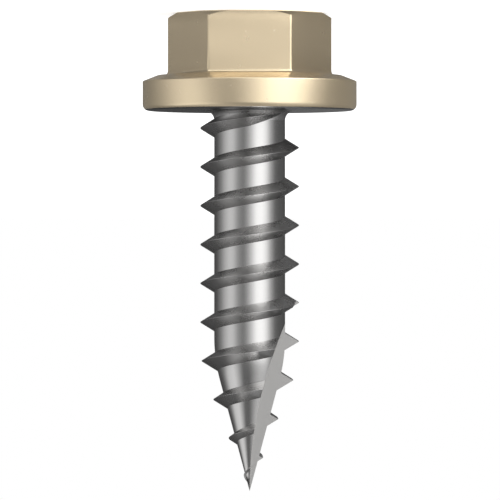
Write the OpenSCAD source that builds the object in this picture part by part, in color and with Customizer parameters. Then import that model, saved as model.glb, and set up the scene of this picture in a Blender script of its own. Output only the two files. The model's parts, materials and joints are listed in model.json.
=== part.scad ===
// Flanged hex head screw with a coarse timber thread and a slotted, self-drilling point.
// It is drawn with its head up and its bearing face at zero. The finished screw then stands
// on the flat top of its head, the only way in which it can stand by itself.

/* [Head] */
// Width of the hexagon across its flats
head_across_flats = 9.37; // [8.5:0.01:10]
// Height of the top of the head above the bearing face
head_h = 6.41; // [4.5:0.01:8]
// Diameter of the circle where the corner chamfer meets the top of the head
head_crown_d = 9.68; // [9:0.02:10]
// Slope of the corner chamfer, from the flat top
head_chamfer_slope = 31.5; // [15:0.5:45]

/* [Flange] */
// Diameter of the flange
flange_d = 14.06; // [12.5:0.02:17]
// Height of the straight rim of the flange
flange_rim_h = 1.93; // [1.2:0.01:2.1]
// Height of the flange where its sloped shoulder ends
flange_h = 2.31; // [2.2:0.01:2.8]
// Diameter of the circle where the sloped shoulder ends
flange_shoulder_d = 12.12; // [11:0.02:12.4]
// Radius of the rounded lower edge of the rim
flange_edge_r = 0.4; // [0.1:0.05:0.5]

/* [Shank] */
// Length of the screw under its head
length = 25; // [22:0.5:50]
// Diameter of the shank between the turns of the thread
root_d = 4.66; // [4.2:0.02:5]
// Radius of the fillet between the shank and the bearing face
neck_r = 0.64; // [0.3:0.02:1]

/* [Thread] */
// Diameter over the crests of the thread
thread_d = 6.48; // [6:0.02:7]
// Distance from one turn of the thread to the next
pitch = 2.55; // [2.3:0.01:3]
// Angle of one flank of the thread from square to the axis
flank_angle = 31; // [25:1:35]
// Width of the flat on the crest of the thread
crest_w = 0.06; // [0.04:0.01:0.25]
// Distance from the bearing face to the last crest before the run-out
thread_gap = 1.15; // [1:0.01:3]
// Turns past that crest at which the thread starts to run out
runout_start = 0.25; // [0:0.05:0.3]
// Turns past that crest at which it has run out
runout_end = 0.55; // [0.4:0.05:0.6]

/* [Point] */
// Angle of the pointed end, from side to side
point_angle = 30; // [25:1:36]
// Radius of the blend between the shank and the pointed end
shoulder_r = 11; // [2:1:15]
// Angle of the cone that the crests follow down to the point
crest_cone_angle = 43.2; // [40:0.2:60]
// Depth of the bend with which that cone passes into the full thread
crest_bend = 0.6; // [0.1:0.1:1]
// Distance from the tip to the start of the thread
thread_start = 0.4; // [0.3:0.1:1]
// Distance from the tip to the first full crest
thread_full = 1.2; // [1.1:0.1:4]

/* [Cutting slot] */
// Radius of the disc that cuts the slot
slot_r = 26.3; // [20:0.1:40]

/* [Hidden] */
paint = "#d6c7a8";
zinc = "#a9a9ac";
$fn = 96;
// Steps of the thread in one turn
turn_steps = 36;
// Shares of the shank's radius to which the foot of the thread and its two ends are sunk
thread_foot = 0.75;
thread_end = 0.9;

head_corner_r = head_across_flats / 2 / cos(30);
flange_r = flange_d / 2;
root_r = root_d / 2;
thread_r = thread_d / 2;
tip_z = -length;
cone_z = tip_z + root_r / tan(point_angle / 2);

// The thread climbs anticlockwise from the point to the head. Its last crest before the
// run-out is on the side away from +X, and a turn of 0 is at that crest.
last_crest_z = -thread_gap;
first_turn = (tip_z + thread_start - last_crest_z) / pitch;
ring_count = ceil((runout_end - first_turn) * turn_steps);

function above_tip(z) = z - tip_z;
function shank_radius(z) = min(root_r, above_tip(z) * tan(point_angle / 2));
function full_crest_radius(z) = let (
        cone = above_tip(z) * tan(crest_cone_angle / 2),
        bend = max(0, crest_bend - abs(thread_r - cone)))
    min(thread_r, cone) - bend ^ 2 / (4 * crest_bend);
function turn_of(i) = first_turn + (runout_end - first_turn) * i / ring_count;
function crest_z(i) = last_crest_z + pitch * turn_of(i);
function crest_angle(i) = 180 + 360 * turn_of(i);

// Share of its full height that the thread has at a ring, which falls to nothing at both ends
function growth(i) = max(0, min(1,
    (above_tip(crest_z(i)) - thread_start) / (thread_full - thread_start),
    (runout_end - turn_of(i)) / (runout_end - runout_start)));
function crest_radius(i) = let (z = crest_z(i), full = growth(i))
    full * full_crest_radius(z) + (1 - full) * thread_end * shank_radius(z);

// The four corners of the thread's section at a ring: foot, two crest edges, foot
function thread_ring(i) = let (
        a = crest_angle(i),
        z = crest_z(i),
        crest = crest_radius(i),
        foot = thread_foot * shank_radius(z),
        half_crest = crest_w / 2,
        half_foot = half_crest + (crest - foot) * tan(flank_angle))
    [for (p = [[foot, -half_foot], [crest, -half_crest], [crest, half_crest], [foot, half_foot]])
        [p.x * cos(a), p.x * sin(a), z + p.y]];

module hex_head() {
    chamfer_run = head_corner_r + 1 - head_crown_d / 2;
    color(paint)
        intersection() {
            translate([0, 0, flange_rim_h / 2])
                cylinder(r = head_corner_r, h = head_h - flange_rim_h / 2, $fn = 6);
            rotate_extrude()
                polygon([
                    [0, 0],
                    [head_corner_r + 1, 0],
                    [head_corner_r + 1, head_h - chamfer_run * tan(head_chamfer_slope)],
                    [head_crown_d / 2, head_h],
                    [0, head_h]]);
        }
}

module flange() {
    color(paint)
        rotate_extrude() {
            polygon([
                [0, 0],
                [flange_r - flange_edge_r, 0],
                [flange_r - flange_edge_r, flange_edge_r],
                [flange_r, flange_edge_r],
                [flange_r, flange_rim_h],
                [flange_shoulder_d / 2, flange_h],
                [0, flange_h]]);
            translate([flange_r - flange_edge_r, flange_edge_r])
                circle(flange_edge_r);
        }
}

// The plain core of the screw: neck fillet, straight shank, blended shoulder and cone
module core() {
    rotate_extrude()
        difference() {
            polygon([
                [0, flange_rim_h / 2],
                [root_r + neck_r, flange_rim_h / 2],
                [root_r + neck_r, -neck_r],
                [root_r, -neck_r],
                [root_r, cone_z],
                [0, tip_z]]);
            translate([root_r + neck_r, -neck_r])
                circle(neck_r);
            shoulder_cut();
        }
}

// What the blend takes off the corner between the straight shank and the cone
module shoulder_cut() {
    half_bend = point_angle / 4;
    reach = 1.1 * shoulder_r;
    translate([root_r - shoulder_r, cone_z + shoulder_r * tan(half_bend)])
        difference() {
            polygon([[0, 0], [reach, 0], reach * [cos(2 * half_bend), -sin(2 * half_bend)]]);
            circle(shoulder_r);
        }
}

module thread() {
    last = 4 * ring_count;
    points = [for (i = [0 : ring_count]) each thread_ring(i)];
    sides = [
        for (i = [0 : ring_count - 1], k = [0 : 3])
            let (a = 4 * i + k, b = 4 * i + (k + 1) % 4)
                each [[a, b, b + 4], [a, b + 4, a + 4]]];
    ends = [[0, 2, 1], [0, 3, 2], [last, last + 1, last + 2], [last, last + 2, last + 3]];
    polyhedron(points, concat(sides, ends));
}

// The slot is the mark of a disc that passes through the tip, with its flat side on the axis
module slot_cut() {
    translate([slot_r, 0, tip_z])
        rotate([90, 0, 0])
            cylinder(r = slot_r, h = thread_d);
}

module shank() {
    color(zinc)
        difference() {
            union() {
                core();
                thread();
            }
            slot_cut();
        }
}

// Stands the screw on the top of its head, with the origin in the middle of that face and
// the axis along +Z toward the point
module on_its_head() {
    translate([0, 0, head_h])
        rotate([0, 180, 0])
            children();
}

module screw() {
    on_its_head() {
        hex_head();
        flange();
        shank();
    }
}

screw();
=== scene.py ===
import json
from math import atan, ceil, cos, degrees, pi, radians, sin, tan

import bmesh
import bpy
from bpy.props import FloatProperty, FloatVectorProperty, IntProperty, PointerProperty
from mathutils import Matrix, Vector


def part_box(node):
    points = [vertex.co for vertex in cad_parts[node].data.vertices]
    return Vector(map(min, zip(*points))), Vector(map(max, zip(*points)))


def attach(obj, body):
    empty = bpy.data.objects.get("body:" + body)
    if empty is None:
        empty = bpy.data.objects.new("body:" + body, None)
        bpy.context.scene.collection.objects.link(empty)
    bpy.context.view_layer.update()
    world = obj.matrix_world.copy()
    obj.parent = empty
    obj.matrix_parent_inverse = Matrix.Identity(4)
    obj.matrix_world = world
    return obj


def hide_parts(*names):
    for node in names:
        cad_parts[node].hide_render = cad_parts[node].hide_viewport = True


bl_info = {
    "name": "Flanged hex head screw",
    "version": (1, 0, 0),
    "blender": (4, 5, 0),
    "location": "3D View > Sidebar > Screw",
    "description": "Models a painted flange head screw with a slotted point, and its studio",
    "category": "Object",
}

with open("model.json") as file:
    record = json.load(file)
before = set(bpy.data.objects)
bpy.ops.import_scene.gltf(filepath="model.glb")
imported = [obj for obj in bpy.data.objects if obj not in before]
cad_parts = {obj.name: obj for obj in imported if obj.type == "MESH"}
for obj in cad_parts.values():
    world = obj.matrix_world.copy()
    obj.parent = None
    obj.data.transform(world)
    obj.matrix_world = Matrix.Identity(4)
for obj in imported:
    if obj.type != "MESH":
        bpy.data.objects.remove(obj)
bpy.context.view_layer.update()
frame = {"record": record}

MM = 0.001
LOW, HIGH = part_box("screw")
PLACES = {mount["name"]: Vector(mount["pos_m"]) for mount in frame["record"]["mounts"]}
HEAD_H = PLACES["bearing_face"].z - LOW.z
LENGTH = PLACES["thread"].z - PLACES["bearing_face"].z
FLANGE_D = HIGH.x - LOW.x
# The screw is modelled with its head up and its bearing face at zero, and then stood on its head
STAND_ON_HEAD = Matrix.Translation((0, 0, HEAD_H)) @ Matrix.Rotation(pi, 4, "Y")

# Half the angle that one side of a hexagon takes up, seen from its middle
HALF_SIDE = radians(30)
# Shares of the shank's radius to which the thread's two ends and its foot are sunk
THREAD_END, THREAD_FOOT = 0.9, 0.75
# How far a cutting shape reaches past what it cuts
CLEAR = 1 * MM
# Edges that turn by more than this stay sharp
SHARP_ANGLE = radians(17)
# Corners that lie nearer to each other than this are merged
MERGE_GAP = 1e-7

# Steps of a full turn: the turned shapes, the disc of the slot and the cards of light
TURN_STEPS, DISC_STEPS, CARD_STEPS = 256, 720, 96
# Steps of the small rounded edges, the fillets and the long blend into the point
CORNER_STEPS, FOOT_STEPS, FILLET_STEPS, BLEND_STEPS = 6, 8, 12, 16


def length(name, description, default):
    """A size in metres, which the sidebar shows in the scene's own units."""
    return FloatProperty(
        name=name, description=description, default=default, min=0, unit="LENGTH", precision=5
    )


def angle(name, description, default):
    """An angle, given in degrees."""
    return FloatProperty(
        name=name, description=description, default=radians(default), subtype="ANGLE"
    )


def colour(name, description, default):
    """A linear colour."""
    return FloatVectorProperty(
        name=name, description=description, default=default, size=3, min=0, max=1, subtype="COLOR"
    )


class SCREW_PG_head(bpy.types.PropertyGroup):
    across_flats: length("Across flats", "Width of the hexagon across its flats", 9.37 * MM)
    crown_d: length("Crown", "Circle where the chamfer meets the top of the head", 9.68 * MM)
    chamfer_slope: angle("Chamfer", "Slope of the corner chamfer from the flat top", 31.5)
    corner_r: length("Corner radius", "Rounding of the hexagon's upright edges", 0.2 * MM)
    foot_r: length("Foot radius", "Fillet between the hexagon and the flange", 0.3 * MM)


class SCREW_PG_flange(bpy.types.PropertyGroup):
    rim_h: length("Rim", "Height of the straight rim", 1.93 * MM)
    top_h: length("Top", "Height of the flange where its shoulder ends", 2.31 * MM)
    shoulder_d: length("Shoulder", "Circle where the sloped shoulder ends", 12.12 * MM)
    edge_r: length("Lower edge", "Radius of the rounded lower edge of the rim", 0.4 * MM)
    shoulder_r: length("Upper edge", "Radius of the edge between rim and shoulder", 0.08 * MM)
    paint_line: length("Paint line", "Height on the lower edge at which the paint ends", 0.07 * MM)


class SCREW_PG_shank(bpy.types.PropertyGroup):
    root_d: length("Root", "Diameter between the turns of the thread", 4.66 * MM)
    neck_r: length("Neck fillet", "Fillet between shank and bearing face", 0.64 * MM)
    point_angle: angle("Point", "Angle of the pointed end, from side to side", 30)
    blend_r: length("Blend", "Radius of the blend between shank and point", 11 * MM)


class SCREW_PG_thread(bpy.types.PropertyGroup):
    crest_d: length("Crest", "Diameter over the crests", 6.48 * MM)
    pitch: length("Pitch", "Distance from one turn to the next", 2.55 * MM)
    flank_angle: angle("Flank", "Angle of one flank from square to the axis", 31)
    crest_w: length("Crest width", "Width of the flat on the crest", 0.008 * MM)
    gap: length("Gap", "From the bearing face to the last crest before the run-out", 1.15 * MM)
    crest_cone: angle("Crest cone", "Cone that the crests follow down to the point", 43.2)
    crest_bend: length("Crest bend", "Bend of that cone into the full thread", 0.6 * MM)
    start: length("Start", "Distance from the tip to the start of the thread", 0.3 * MM)
    full: length("Full height", "Distance from the tip to the first full crest", 0.7 * MM)
    runout_start: FloatProperty(
        name="Run-out", description="Turns past that crest to the run-out's start", default=0.25
    )
    runout_end: FloatProperty(
        name="Run-out end", description="Turns past that crest to the run-out's end", default=0.55
    )
    turn_steps: IntProperty(
        name="Steps", description="Steps of the thread in one turn", default=128
    )


class SCREW_PG_slot(bpy.types.PropertyGroup):
    disc_r: length("Disc", "Radius of the disc that cuts the slot", 27.2 * MM)


class SCREW_PG_finish(bpy.types.PropertyGroup):
    paint: colour("Paint", "Gloss beige paint of the head and flange", (0.74, 0.616, 0.425))
    zinc: colour("Zinc", "Zinc plating of the shank and thread", (0.5, 0.495, 0.49))
    # A lighter copy of the zinc: painted light on the thread and the neck, which lie in shade
    # between the turns and under the flange.
    flank: colour("Flank", "Plating on the rolled flanks of the thread", (0.67, 0.665, 0.66))
    cut: colour("Cut", "Sheared face of the slot", (0.465, 0.46, 0.452))


class SCREW_PG_studio(bpy.types.PropertyGroup):
    lens: FloatProperty(
        name="Lens", description="Focal length", default=348.7, subtype="DISTANCE_CAMERA"
    )
    distance: length("Distance", "From the camera to the screw's axis", 318.2 * MM)
    aim: length("Aim", "Height above the floor at which the camera looks", 15.564 * MM)
    aside: length("Aside", "How far the camera stands to one side", 0.022 * MM)
    floor: length("Floor", "Half the width of the floor", 2)
    tent_r: length("Tent radius", "Radius of the round tent of light and dark cards", 0.6)
    tent_h: length("Tent height", "Height of the tent's wall", 0.55)
    tent_bend: length("Tent bend", "Height at which the wall's bands change", 0.2)


def arc(centre, radius, start, end, steps):
    """Points along an arc in the plane of distance from the axis and height."""
    turns = [radians(start + (end - start) * i / steps) for i in range(steps + 1)]
    return [(centre[0] + radius * cos(t), centre[1] + radius * sin(t)) for t in turns]


# The finishes, and their places in the list of materials that every piece has
FINISHES = ("beige_paint", "zinc_plating", "zinc_painted_light", "slot_face")
# The third finish is the zinc painted lighter, as painted light on the thread and the neck, which
# lie in shade.
PAINT, ZINC, PAINTED_LIGHT_ZINC, CUT = range(len(FINISHES))
# Depth of the fine lines in the plating and on the slot's face
BUMP_DEPTH = 0.01 * MM


def solid(name, bm, finish):
    """Closes a bmesh's seams, turns its faces outwards and puts it in an object."""
    for face in bm.faces:
        face.material_index = finish
    bmesh.ops.remove_doubles(bm, verts=bm.verts, dist=MERGE_GAP)
    bmesh.ops.recalc_face_normals(bm, faces=bm.faces)
    if bm.calc_volume(signed=True) < 0:
        bmesh.ops.reverse_faces(bm, faces=bm.faces)
    mesh = bpy.data.meshes.new(name)
    bm.to_mesh(mesh)
    bm.free()
    for material in FINISHES:
        mesh.materials.append(bpy.data.materials[material])
    obj = bpy.data.objects.new(name, mesh)
    bpy.context.scene.collection.objects.link(obj)
    return obj


def turned(name, outline, finish):
    """A solid turned from an outline that starts and ends on the axis."""
    bm = bmesh.new()
    verts = [bm.verts.new((r, 0, z)) for r, z in outline]
    edges = [bm.edges.new(pair) for pair in zip(verts, verts[1:])]
    bmesh.ops.spin(
        bm, geom=verts + edges, cent=(0, 0, 0), axis=(0, 0, 1), angle=2 * pi, steps=TURN_STEPS,
        use_merge=True,
    )
    return solid(name, bm, finish)


def combine(obj, tool, operation):
    """Joins, cuts or trims a solid with another, which is used up."""
    modifier = obj.modifiers.new("combine", "BOOLEAN")
    modifier.object = tool
    modifier.operation = operation
    modifier.solver = "MANIFOLD"
    graph = bpy.context.evaluated_depsgraph_get()
    mesh = bpy.data.meshes.new_from_object(obj.evaluated_get(graph))
    obj.modifiers.clear()
    obj.data = mesh
    bpy.data.objects.remove(tool)
    return obj


def extrude_ring(bm, ring, height, scale=1.0):
    """Pulls a ring of edges up by a height, scales it about the axis and returns it."""
    new = bmesh.ops.extrude_edge_only(bm, edges=ring)["geom"]
    verts = [g for g in new if isinstance(g, bmesh.types.BMVert)]
    bmesh.ops.translate(bm, vec=(0, 0, height), verts=verts)
    bmesh.ops.scale(bm, vec=(scale, scale, 1), verts=verts)
    return [g for g in new if isinstance(g, bmesh.types.BMEdge)]


def hexagon(head, flange):
    """The hexagon with rounded upright edges, a fillet at its foot and a chamfered crown."""
    flat = head.across_flats / 2
    corner = flat / cos(HALF_SIDE)
    foot = flange.top_h
    bm = bmesh.new()
    bmesh.ops.create_circle(
        bm, cap_ends=True, segments=6, radius=corner,
        matrix=Matrix.Translation((0, 0, foot / 2)) @ Matrix.Rotation(HALF_SIDE, 4, "Z"),
    )
    bmesh.ops.bevel(
        bm, geom=list(bm.verts), offset=head.corner_r * tan(HALF_SIDE), affect="VERTICES",
        segments=CORNER_STEPS, profile=0.5, material=-1,
    )
    ring = list(bm.edges)
    wide = (flat + head.foot_r) / flat
    bmesh.ops.scale(bm, vec=(wide, wide, 1), verts=bm.verts)
    ring = extrude_ring(bm, ring, foot / 2)
    fillet = arc((flat + head.foot_r, foot + head.foot_r), head.foot_r, 270, 180, FOOT_STEPS)
    for (r, z), (next_r, next_z) in zip(fillet, fillet[1:]):
        ring = extrude_ring(bm, ring, next_z - z, next_r / r)
    ring = extrude_ring(bm, ring, HEAD_H - foot - head.foot_r)
    bmesh.ops.contextual_create(bm, geom=ring)
    blank = solid("hexagon", bm, PAINT)
    reach = corner + CLEAR
    drop = (reach - head.crown_d / 2) * tan(head.chamfer_slope)
    crown = turned("crown", [
        (0, 0),
        (reach, 0),
        (reach, HEAD_H - drop),
        (head.crown_d / 2, HEAD_H),
        (0, HEAD_H),
    ], PAINT)
    return combine(blank, crown, "INTERSECT")


def flange_disc(flange):
    """The round flange with its straight rim, sloped shoulder and rounded edges."""
    r = FLANGE_D / 2
    edge = flange.edge_r
    slope = atan((flange.top_h - flange.rim_h) / (r - flange.shoulder_d / 2))
    tangent = flange.shoulder_r * tan((pi / 2 - slope) / 2)
    upper = (r - flange.shoulder_r, flange.rim_h - tangent)
    disc = turned("flange", [
        (0, 0),
        *arc((r - edge, edge), edge, 270, 360, FILLET_STEPS),
        *arc(upper, flange.shoulder_r, 0, 90 - degrees(slope), CORNER_STEPS),
        (flange.shoulder_d / 2, flange.top_h),
        (0, flange.top_h),
    ], PAINT)
    for face in disc.data.polygons:
        if face.center.z < flange.paint_line:
            face.material_index = ZINC
    return disc


def core(shank, flange):
    """The plain core: neck fillet, straight shank, blended shoulder and cone."""
    root = shank.root_d / 2
    half_point = shank.point_angle / 2
    cone_z = root / tan(half_point) - LENGTH
    blend_z = cone_z + shank.blend_r * tan(half_point / 2)
    neck = shank.neck_r
    shaft = turned("core", [
        (0, flange.rim_h / 2),
        (root + neck, flange.rim_h / 2),
        *arc((root + neck, -neck), neck, 90, 180, FILLET_STEPS),
        *arc((root - shank.blend_r, blend_z), shank.blend_r, 0, -degrees(half_point), BLEND_STEPS),
        (0, -LENGTH),
    ], ZINC)
    # The neck takes the zinc painted lighter: painted light in the shade under the flange.
    for face in shaft.data.polygons:
        if face.center.z > -neck:
            face.material_index = PAINTED_LIGHT_ZINC
    return shaft


def thread_section(thread, shank, turn):
    """The four corners of the thread at a turn: foot, two crest edges, foot."""
    z = thread.pitch * turn - thread.gap
    above_tip = z + LENGTH
    root = min(shank.root_d / 2, above_tip * tan(shank.point_angle / 2))
    full = thread.crest_d / 2
    cone = above_tip * tan(thread.crest_cone / 2)
    bend = max(0, thread.crest_bend - abs(full - cone))
    crest = min(full, cone) - bend ** 2 / (4 * thread.crest_bend)
    growth = (above_tip - thread.start) / (thread.full - thread.start)
    runout = (thread.runout_end - turn) / (thread.runout_end - thread.runout_start)
    share = max(0, min(1, growth, runout))
    crest = share * crest + (1 - share) * THREAD_END * root
    foot = THREAD_FOOT * root
    half_crest = min(thread.crest_w, crest - foot) / 2
    half_foot = half_crest + (crest - foot) * tan(thread.flank_angle)
    points = ((foot, -half_foot), (crest, -half_crest), (crest, half_crest), (foot, half_foot))
    a = 2 * pi * turn
    return [Vector((-r * cos(a), -r * sin(a), z + dz)) for r, dz in points]


def helix(thread, shank):
    """The thread: one section pulled up and round the shank, ring by ring."""
    first = (thread.gap - LENGTH + thread.start) / thread.pitch
    last = thread.runout_end
    steps = ceil((last - first) * thread.turn_steps)
    bm = bmesh.new()
    ring = [bm.verts.new(p) for p in thread_section(thread, shank, first)]
    bm.faces.new(ring)
    for i in range(1, steps + 1):
        edges = [bm.edges.get((a, b)) for a, b in zip(ring, ring[1:] + ring[:1])]
        new = bmesh.ops.extrude_edge_only(bm, edges=edges)["geom"]
        fresh = {g for g in new if isinstance(g, bmesh.types.BMVert)}
        ring = [
            next(e.other_vert(v) for e in v.link_edges if e.other_vert(v) in fresh) for v in ring
        ]
        turn = first + (last - first) * i / steps
        for vert, place in zip(ring, thread_section(thread, shank, turn)):
            vert.co = place
    bm.faces.new(ring)
    # The thread takes the zinc painted lighter: painted light that makes up for the shade between
    # the turns.
    return solid("thread", bm, PAINTED_LIGHT_ZINC)


def slot_disc(slot, thread):
    """The disc that cuts the slot, with its flat side on the screw's axis."""
    bm = bmesh.new()
    r, thick = slot.disc_r, thread.crest_d
    bmesh.ops.create_cone(
        bm, cap_ends=True, segments=DISC_STEPS, radius1=r, radius2=r, depth=thick,
        matrix=Matrix.Translation((r, -thick / 2, -LENGTH)) @ Matrix.Rotation(pi / 2, 4, "X"),
    )
    return solid("disc", bm, CUT)


def principled(name):
    """A new material with one Principled BSDF, returned with its node tree and that node."""
    material = bpy.data.materials.new(name)
    material.use_nodes = True
    tree = material.node_tree
    return material, tree, tree.nodes["Principled BSDF"]


def fine_noise_group():
    """Noise on Object coordinates, put out as a value and as a height for bump."""
    group = bpy.data.node_groups.new("fine_noise", "ShaderNodeTree")
    for name, way, kind in (
        ("Scale", "INPUT", "Float"),
        ("Stretch", "INPUT", "Vector"),
        ("Low", "INPUT", "Float"),
        ("High", "INPUT", "Float"),
        ("Value", "OUTPUT", "Float"),
        ("Height", "OUTPUT", "Float"),
    ):
        group.interface.new_socket(name, in_out=way, socket_type="NodeSocket" + kind)
    nodes, link = group.nodes, group.links.new
    given = nodes.new("NodeGroupInput")
    result = nodes.new("NodeGroupOutput")
    place = nodes.new("ShaderNodeTexCoord")
    stretch = nodes.new("ShaderNodeVectorMath")
    stretch.operation = "MULTIPLY"
    noise = nodes.new("ShaderNodeTexNoise")
    noise.inputs["Detail"].default_value = 3
    spread = nodes.new("ShaderNodeMapRange")
    link(place.outputs["Object"], stretch.inputs[0])
    link(given.outputs["Stretch"], stretch.inputs[1])
    link(stretch.outputs["Vector"], noise.inputs["Vector"])
    link(given.outputs["Scale"], noise.inputs["Scale"])
    link(noise.outputs["Fac"], spread.inputs["Value"])
    link(given.outputs["Low"], spread.inputs["To Min"])
    link(given.outputs["High"], spread.inputs["To Max"])
    link(spread.outputs["Result"], result.inputs["Value"])
    link(noise.outputs["Fac"], result.inputs["Height"])
    return group


def metallic(name, base, metal=1.0, edge=1.0):
    """A new metallic finish, whose colour is tinted by edge where it is seen at a low angle."""
    _, tree, shader = principled(name)
    shader.inputs["Base Color"].default_value = (*base, 1)
    shader.inputs["Specular Tint"].default_value = (edge, edge, edge, 1)
    shader.inputs["Metallic"].default_value = metal
    return tree, shader


def vary_gloss(tree, shader, noise, scale, low, high, stretch=(1, 1, 1)):
    """Lets a finish's roughness vary with fine noise, and gives back the height of that noise."""
    grain = tree.nodes.new("ShaderNodeGroup")
    grain.node_tree = noise
    grain.inputs["Scale"].default_value = scale
    grain.inputs["Stretch"].default_value = stretch
    grain.inputs["Low"].default_value = low
    grain.inputs["High"].default_value = high
    tree.links.new(grain.outputs["Value"], shader.inputs["Roughness"])
    return grain.outputs["Height"]


def add_bump(tree, shader, height, strength):
    """Feeds a height to a finish's normal."""
    bump = tree.nodes.new("ShaderNodeBump")
    bump.inputs["Strength"].default_value = strength
    bump.inputs["Distance"].default_value = BUMP_DEPTH
    tree.links.new(height, bump.inputs["Height"])
    tree.links.new(bump.outputs["Normal"], shader.inputs["Normal"])


def paint_material(finish, noise):
    """Gloss beige paint with a metallic sheen."""
    tree, shader = metallic("beige_paint", finish.paint, metal=0.8)
    vary_gloss(tree, shader, noise, scale=2500, low=0.23, high=0.29)


def zinc_material(finish, noise):
    """Bright zinc plating, with fine lines round the shank."""
    tree, shader = metallic("zinc_plating", finish.zinc, edge=0.5)
    lines = vary_gloss(tree, shader, noise, scale=900, low=0.17, high=0.23, stretch=(1, 1, 6))
    add_bump(tree, shader, lines, strength=0.04)


def painted_light_zinc_material(finish, noise):
    """The zinc of the thread's rolled flanks and the neck, a little duller than the shank between
    them and painted lighter than it: painted light where these lie in shade.
    """
    tree, shader = metallic("zinc_painted_light", finish.flank, edge=0.4)
    vary_gloss(tree, shader, noise, scale=900, low=0.26, high=0.29)


def slot_material(finish, noise):
    """The sheared face of the slot, duller than the plating round it, with lines along the cut."""
    tree, shader = metallic("slot_face", finish.cut)
    lines = vary_gloss(tree, shader, noise, scale=700, low=0.38, high=0.46, stretch=(4, 1, 1))
    add_bump(tree, shader, lines, strength=0.06)


class SCREW_OT_body(bpy.types.Operator):
    """Models the screw as one solid and gives it its paint and plating"""

    bl_idname = "screw.body"
    bl_label = "Screw"

    def execute(self, context):
        scene = context.scene
        head, flange = scene.screw_head, scene.screw_flange
        shank, thread, slot = scene.screw_shank, scene.screw_thread, scene.screw_slot
        noise = fine_noise_group()
        for make in (paint_material, zinc_material, painted_light_zinc_material, slot_material):
            make(scene.screw_finish, noise)
        shaft = combine(core(shank, flange), helix(thread, shank), "UNION")
        combine(shaft, slot_disc(slot, thread), "DIFFERENCE")
        screw = combine(flange_disc(flange), hexagon(head, flange), "UNION")
        combine(screw, shaft, "UNION")
        screw.name = "screw_body"
        screw.data.name = "screw_body"
        screw.data.shade_smooth()
        screw.data.set_sharp_from_angle(angle=SHARP_ANGLE)
        even = screw.modifiers.new("even shading", "WEIGHTED_NORMAL")
        even.keep_sharp = True
        screw.data.transform(STAND_ON_HEAD)
        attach(screw, "root")
        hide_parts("screw")
        return {"FINISHED"}


# Strength of the world's soft light on the screw, whose own picture is always white
AMBIENT = 0.8
# Strength of the glow that makes the floor white in the picture but gives no light
FLOOR_GLOW = 0.55


def seen_as_white(tree):
    """A value of 1 for what the camera sees, directly or in metal and glass, else 0."""
    path = tree.nodes.new("ShaderNodeLightPath")
    either = tree.nodes.new("ShaderNodeMath")
    either.operation = "MAXIMUM"
    every = tree.nodes.new("ShaderNodeMath")
    every.operation = "MAXIMUM"
    tree.links.new(path.outputs["Is Camera Ray"], either.inputs[0])
    tree.links.new(path.outputs["Is Glossy Ray"], either.inputs[1])
    tree.links.new(either.outputs["Value"], every.inputs[0])
    tree.links.new(path.outputs["Is Transmission Ray"], every.inputs[1])
    return every.outputs["Value"]


def white_world(scene):
    """A white backdrop all round, which also gives the soft light."""
    world = bpy.data.worlds.new("studio")
    scene.world = world
    world.use_nodes = True
    tree = world.node_tree
    light = tree.nodes["Background"]
    level = tree.nodes.new("ShaderNodeMapRange")
    level.inputs["To Min"].default_value = AMBIENT
    level.inputs["To Max"].default_value = 1.0
    tree.links.new(seen_as_white(tree), level.inputs["Value"])
    light.inputs["Color"].default_value = (1, 1, 1, 1)
    tree.links.new(level.outputs["Result"], light.inputs["Strength"])


def white_floor(studio):
    """A pale floor that reads as white and keeps the screw's shadow."""
    bm = bmesh.new()
    bmesh.ops.create_grid(bm, x_segments=1, y_segments=1, size=studio.floor)
    mesh = bpy.data.meshes.new("floor")
    bm.to_mesh(mesh)
    bm.free()
    floor = bpy.data.objects.new("floor", mesh)
    bpy.context.scene.collection.objects.link(floor)
    material, tree, shader = principled("white_floor")
    shader.inputs["Base Color"].default_value = (0.9, 0.9, 0.9, 1)
    shader.inputs["Roughness"].default_value = 0.9
    shader.inputs["Specular IOR Level"].default_value = 0.0
    shader.inputs["Emission Color"].default_value = (1, 1, 1, 1)
    glow = tree.nodes.new("ShaderNodeMath")
    glow.operation = "MULTIPLY"
    glow.inputs[1].default_value = FLOOR_GLOW
    tree.links.new(seen_as_white(tree), glow.inputs[0])
    tree.links.new(glow.outputs["Value"], shader.inputs["Emission Strength"])
    mesh.materials.append(material)


def card_material(name, stops):
    """Light that changes with the direction round the screw, for a card of the tent."""
    material = bpy.data.materials.new(name)
    material.use_nodes = True
    tree = material.node_tree
    tree.nodes.clear()
    node, link = tree.nodes.new, tree.links.new
    place = node("ShaderNodeTexCoord")
    axes = node("ShaderNodeSeparateXYZ")
    towards = node("ShaderNodeMath")
    towards.operation = "ARCTAN2"
    turn = node("ShaderNodeMapRange")
    turn.inputs["From Min"].default_value = -pi
    turn.inputs["From Max"].default_value = pi
    turn.inputs["To Min"].default_value = 1.0
    turn.inputs["To Max"].default_value = 0.0
    flip = node("ShaderNodeMath")
    flip.operation = "MULTIPLY"
    flip.inputs[1].default_value = -1
    bands = node("ShaderNodeValToRGB")
    strongest = max(level for _, level in stops)
    marks = bands.color_ramp.elements
    while len(marks) < len(stops):
        marks.new(0.5)
    for mark, (direction, level) in zip(marks, sorted(stops)):
        mark.position = (direction + 180) / 360
        mark.color = (*[level / strongest] * 3, 1)
    glow = node("ShaderNodeEmission")
    glow.inputs["Strength"].default_value = strongest
    link(place.outputs["Object"], axes.inputs["Vector"])
    link(axes.outputs["Y"], flip.inputs[0])
    link(axes.outputs["X"], towards.inputs[0])
    link(flip.outputs["Value"], towards.inputs[1])
    link(towards.outputs["Value"], turn.inputs["Value"])
    link(turn.outputs["Result"], bands.inputs["Fac"])
    link(bands.outputs["Color"], glow.inputs["Color"])
    link(glow.outputs["Emission"], node("ShaderNodeOutputMaterial").inputs["Surface"])
    return material


# The light of each card of the tent. A stop is a direction round the screw in degrees, from the
# camera toward the right of the picture, and the strength of the light there.

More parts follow.
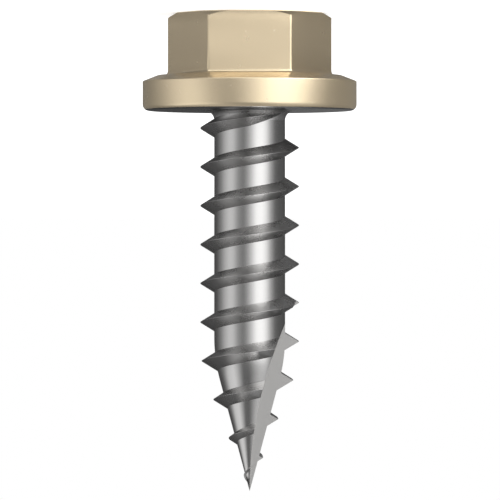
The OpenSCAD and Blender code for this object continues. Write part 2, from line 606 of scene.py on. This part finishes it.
# The wall up to its bend: the stripes down the shank and the slot, and the rim's shading
WALL_BANDS = (
    (-180, 0.1), (-176, 0.1), (-170, 0.16), (-130, 0.18), (-105, 0.4), (-85, 0.8), (-68, 1.05),
    (-55, 0.98), (-38, 0.5), (-20, 0.3), (-8, 0.54), (8, 1.15), (22, 1.85), (40, 1.98),
    (54, 1.6), (72, 0.66), (90, 0.23), (110, 0.165), (135, 0.18), (165, 0.19), (176, 0.24),
    (180, 0.22),
)
# The wall above its bend: the cone of the point, the neck and the rounded edge of the rim
HIGH_BANDS = (
    (-180, 0.1), (-130, 0.12), (-110, 0.45), (-90, 1.05), (-62, 1.2), (-45, 0.8), (-25, 0.2),
    (0, 0.2), (20, 0.55), (40, 0.85), (60, 0.85), (80, 0.5), (110, 0.15), (180, 0.13),
)
# The roof: the flanks that face the point, the neck and the rounded edge of the rim
ROOF_BANDS = (
    (-180, 0.14), (-170, 0.16), (-164, 0.16), (-158, 0.08), (-135, 0.1), (-110, 0.35),
    (-90, 0.48), (-60, 0.45), (-12, 0.25), (12, 0.25), (45, 0.42), (90, 0.42), (110, 0.3),
    (135, 0.12), (154, 0.15), (164, 0.6), (174, 0.45), (180, 0.14),
)
# The low fence round the head: the faces of the hexagon
FENCE_BANDS = (
    (-180, 0.16), (-130, 0.29), (-75, 0.3), (-55, 0.5), (-36, 0.7), (-28, 0.9), (0, 0.86),
    (22, 0.82), (30, 1.8), (42, 1.8), (54, 0.2), (180, 0.16),
)
# The curb below the fence: the ends of those faces beside the chamfer
CURB_BANDS = (
    (-180, 0.18), (-130, 0.35), (-75, 0.35), (-55, 0.5), (-28, 0.57), (22, 0.57), (30, 1.8),
    (42, 1.8), (54, 0.2), (180, 0.16),
)
# The floor round the head, in three cards from wide to narrow: the flange's shoulder, the
# hexagon's fillet and the chamfer
FORE_BANDS = (
    (-180, 0.15), (-70, 0.15), (-40, 0.6), (-10, 1.1), (10, 2.2), (30, 5.0), (50, 5.0),
    (70, 1.8), (90, 0.15), (180, 0.15),
)
APRON_BANDS = ((-180, 0.15), (-60, 0.15), (-36, 2.0), (36, 2.0), (60, 0.15), (180, 0.15))
SHADE_BANDS = ((-180, 0.26), (-20, 0.26), (-15, 0.6), (15, 0.6), (20, 0.2), (180, 0.2))

# Radii of the cards on the floor round the head, which lie just above each other
FORE_R, APRON_R, SHADE_R = 22 * MM, 8.3 * MM, 6.8 * MM
CARD_GAP = 0.01 * MM
# Radius of the fence and its curb, and the heights at which the two end
FENCE_R, CURB_H, FENCE_H = 10 * MM, 0.8 * MM, 2.4 * MM


def card(name, bm, material):
    """A card of the tent: gloss shows it, and the camera and soft light pass through it."""
    mesh = bpy.data.meshes.new(name)
    bm.to_mesh(mesh)
    bm.free()
    mesh.materials.append(material)
    obj = bpy.data.objects.new(name, mesh)
    bpy.context.scene.collection.objects.link(obj)
    obj.visible_camera = False
    obj.visible_diffuse = False
    obj.visible_shadow = False


def ring_wall(name, radius, low, high, bands):
    """An upright round card."""
    bm = bmesh.new()
    bmesh.ops.create_cone(
        bm, cap_ends=False, segments=CARD_STEPS, radius1=radius, radius2=radius, depth=high - low,
        matrix=Matrix.Translation((0, 0, (low + high) / 2)),
    )
    card(name, bm, card_material(name, bands))


def disc_card(name, radius, height, bands):
    """A level round card."""
    bm = bmesh.new()
    bmesh.ops.create_circle(
        bm, cap_ends=True, segments=CARD_STEPS, radius=radius,
        matrix=Matrix.Translation((0, 0, height)),
    )
    card(name, bm, card_material(name, bands))


def light_tent(studio):
    """A round tent with bright and dark bands, which the gloss reflects."""
    ring_wall("tent_wall", studio.tent_r, 0, studio.tent_bend, WALL_BANDS)
    ring_wall("tent_wall_high", studio.tent_r, studio.tent_bend, studio.tent_h, HIGH_BANDS)
    disc_card("tent_roof", studio.tent_r, studio.tent_h, ROOF_BANDS)
    disc_card("tent_foot", studio.tent_r, CARD_GAP, WALL_BANDS)
    disc_card("tent_fore", FORE_R, 3 * CARD_GAP, FORE_BANDS)
    disc_card("tent_apron", APRON_R, 4 * CARD_GAP, APRON_BANDS)
    disc_card("tent_shade", SHADE_R, 5 * CARD_GAP, SHADE_BANDS)
    ring_wall("tent_fence", FENCE_R, CURB_H, FENCE_H, FENCE_BANDS)
    ring_wall("tent_curb", FENCE_R, 0, CURB_H, CURB_BANDS)


# The key lamp: its place, the place it points at, its width and its power
KEY_PLACE, KEY_AIM = Vector((-0.35, -0.5, 0.45)), Vector((0, 0, 0.01))
KEY_WIDTH, KEY_POWER = 0.4, 1.5


def key_lamp():
    """A large soft lamp on the right of the picture, for the paint's soft shading."""
    data = bpy.data.lights.new("key", "AREA")
    data.shape = "DISK"
    data.size = KEY_WIDTH
    data.energy = KEY_POWER
    lamp = bpy.data.objects.new("key", data)
    lamp.location = KEY_PLACE
    lamp.rotation_euler = (KEY_AIM - KEY_PLACE).to_track_quat("-Z", "Y").to_euler()
    lamp.visible_glossy = False
    lamp.visible_camera = False
    bpy.context.scene.collection.objects.link(lamp)


def add_camera(studio):
    """A level camera, rolled so that the head is at the top of the picture."""
    data = bpy.data.cameras.new("camera")
    data.lens = studio.lens
    data.sensor_width = 36
    data.clip_start = 10 * MM
    camera = bpy.data.objects.new("camera", data)
    camera.location = (-studio.aside, -studio.distance, studio.aim)
    camera.rotation_euler = (pi / 2, pi, 0)
    bpy.context.scene.collection.objects.link(camera)
    bpy.context.scene.camera = camera


class SCREW_OT_stage(bpy.types.Operator):
    """Sets up the floor, the light and the camera"""

    bl_idname = "screw.stage"
    bl_label = "Studio"

    def execute(self, context):
        scene = context.scene
        scene.view_settings.view_transform = "Standard"
        white_world(scene)
        white_floor(scene.screw_studio)
        light_tent(scene.screw_studio)
        key_lamp()
        add_camera(scene.screw_studio)
        return {"FINISHED"}


class SCREW_PT_panel(bpy.types.Panel):
    """Lists the screw's sizes, finishes and steps"""

    bl_idname = "SCREW_PT_panel"
    bl_label = "Flanged hex head screw"
    bl_space_type = "VIEW_3D"
    bl_region_type = "UI"
    bl_category = "Screw"

    def draw(self, context):
        for name in GROUPS:
            box = self.layout.box()
            box.label(text=name.capitalize())
            group = getattr(context.scene, "screw_" + name)
            for key in group.bl_rna.properties.keys():
                if key not in ("name", "rna_type"):
                    box.prop(group, key)
        self.layout.operator(SCREW_OT_body.bl_idname)
        self.layout.operator(SCREW_OT_stage.bl_idname)


GROUPS = {
    "head": SCREW_PG_head,
    "flange": SCREW_PG_flange,
    "shank": SCREW_PG_shank,
    "thread": SCREW_PG_thread,
    "slot": SCREW_PG_slot,
    "finish": SCREW_PG_finish,
    "studio": SCREW_PG_studio,
}
CLASSES = (*GROUPS.values(), SCREW_OT_body, SCREW_OT_stage, SCREW_PT_panel)


def register():
    for cls in CLASSES:
        bpy.utils.register_class(cls)
    for name, group in GROUPS.items():
        setattr(bpy.types.Scene, "screw_" + name, PointerProperty(type=group))


def unregister():
    for name in GROUPS:
        delattr(bpy.types.Scene, "screw_" + name)
    for cls in reversed(CLASSES):
        bpy.utils.unregister_class(cls)


def main():
    register()
    bpy.ops.screw.stage()
    bpy.ops.screw.body()


if __name__ == "__main__":
    main()
